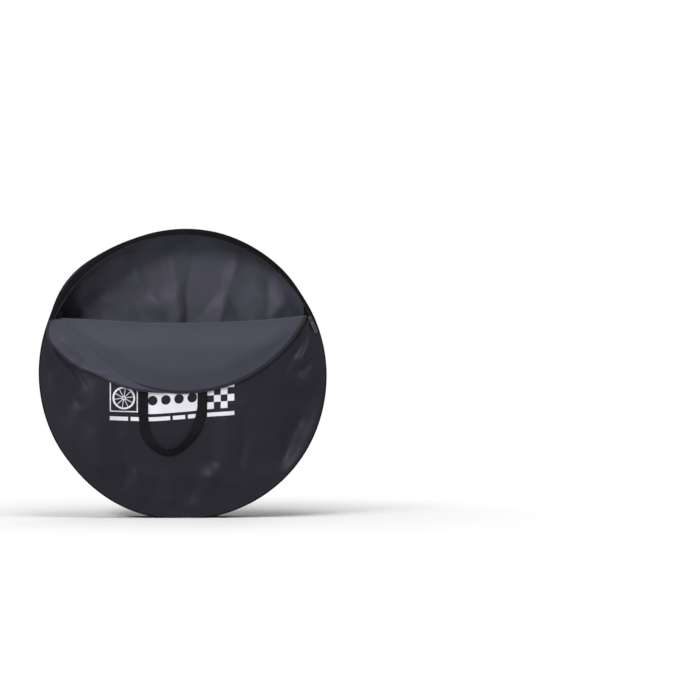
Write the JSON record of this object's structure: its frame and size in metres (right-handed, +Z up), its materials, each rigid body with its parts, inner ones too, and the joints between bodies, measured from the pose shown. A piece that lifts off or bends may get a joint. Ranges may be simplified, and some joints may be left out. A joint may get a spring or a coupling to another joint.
{
  "type": "bike wheel bag",
  "caption": "Round flat cloth bag for a bicycle wheel, its zipped upper front opened and folded down, with a metal slider on a curved zip and a webbing carry handle on each face.",
  "frame": {"origin": "middle of the bag's base, on the floor: bottom centre of the bounding box at rest", "axes": "+X to the bag's right as seen from the front, +Z up, the zipped front faces -Y"},
  "size_m": [0.77, 0.12, 0.7646],
  "materials": {
    "outer_cloth": "coated nylon, soft sheen",
    "inner_cloth": "matte coated lining",
    "edge_cloth": "black binding cloth, matte",
    "webbing": "black woven webbing, matte",
    "zip_tape": "black knitted tape, matte",
    "zip_teeth": "black nylon, satin",
    "zip_metal": "gunmetal grey, satin",
    "print": "white transfer print, matte"
  },
  "bodies": {
    "bag": {"back_panel": "outer_cloth", "front_panel": "outer_cloth", "front_border": "edge_cloth", "gusset_upper": "outer_cloth", "gusset_lower": "outer_cloth", "piping_front": "edge_cloth", "piping_back": "edge_cloth", "binding_front": "edge_cloth", "binding_back": "edge_cloth", "fold_crease": "inner_cloth", "zip_tape_rim": "zip_tape", "zip_row_rim": "zip_teeth", "zip_stop_left": "zip_metal", "zip_stop_right": "zip_metal", "zip_tab_left": "edge_cloth", "zip_tab_right": "edge_cloth", "print_film": "print", "rear_handle_end_left": "webbing", "rear_handle_end_right": "webbing"},
    "flap": {"flap": "inner_cloth", "zip_tape_flap": "zip_tape", "zip_row_flap": "zip_teeth", "front_handle_end_left": "webbing", "front_handle_end_right": "webbing"},
    "slider": {"slider_body": "zip_metal", "slider_crown": "zip_metal"},
    "puller": {"puller": "zip_metal"},
    "front_handle": {"front_handle_loop": "webbing"},
    "rear_handle": {"rear_handle_loop": "webbing"}
  },
  "joints": [
    {"name": "flap_fold", "type": "hinge", "parent": "bag", "child": "flap", "pos_m": [0, -0.0554, 0.53959], "axis": [-1, 0, 0], "range_deg": [0, 179.5]},
    {"name": "slider_run", "type": "hinge", "parent": "bag", "child": "slider", "pos_m": [0, -0.05365, 0.37959], "axis": [0, -1, 0], "range_deg": [0, 132.2]},
    {"name": "puller_swing", "type": "hinge", "parent": "slider", "child": "puller", "pos_m": [0.33828, -0.05645, 0.52948], "axis": [-0.9143, 0, -0.4051], "range_deg": [0, 170]},
    {"name": "front_handle_swing", "type": "hinge", "parent": "flap", "child": "front_handle", "pos_m": [0, -0.0558, 0.3102], "axis": [-1, 0, 0], "range_deg": [0, 60]},
    {"name": "rear_handle_swing", "type": "hinge", "parent": "bag", "child": "rear_handle", "pos_m": [0, 0.0583, 0.67959], "axis": [1, 0, 0], "range_deg": [0, 170]}
  ]
}
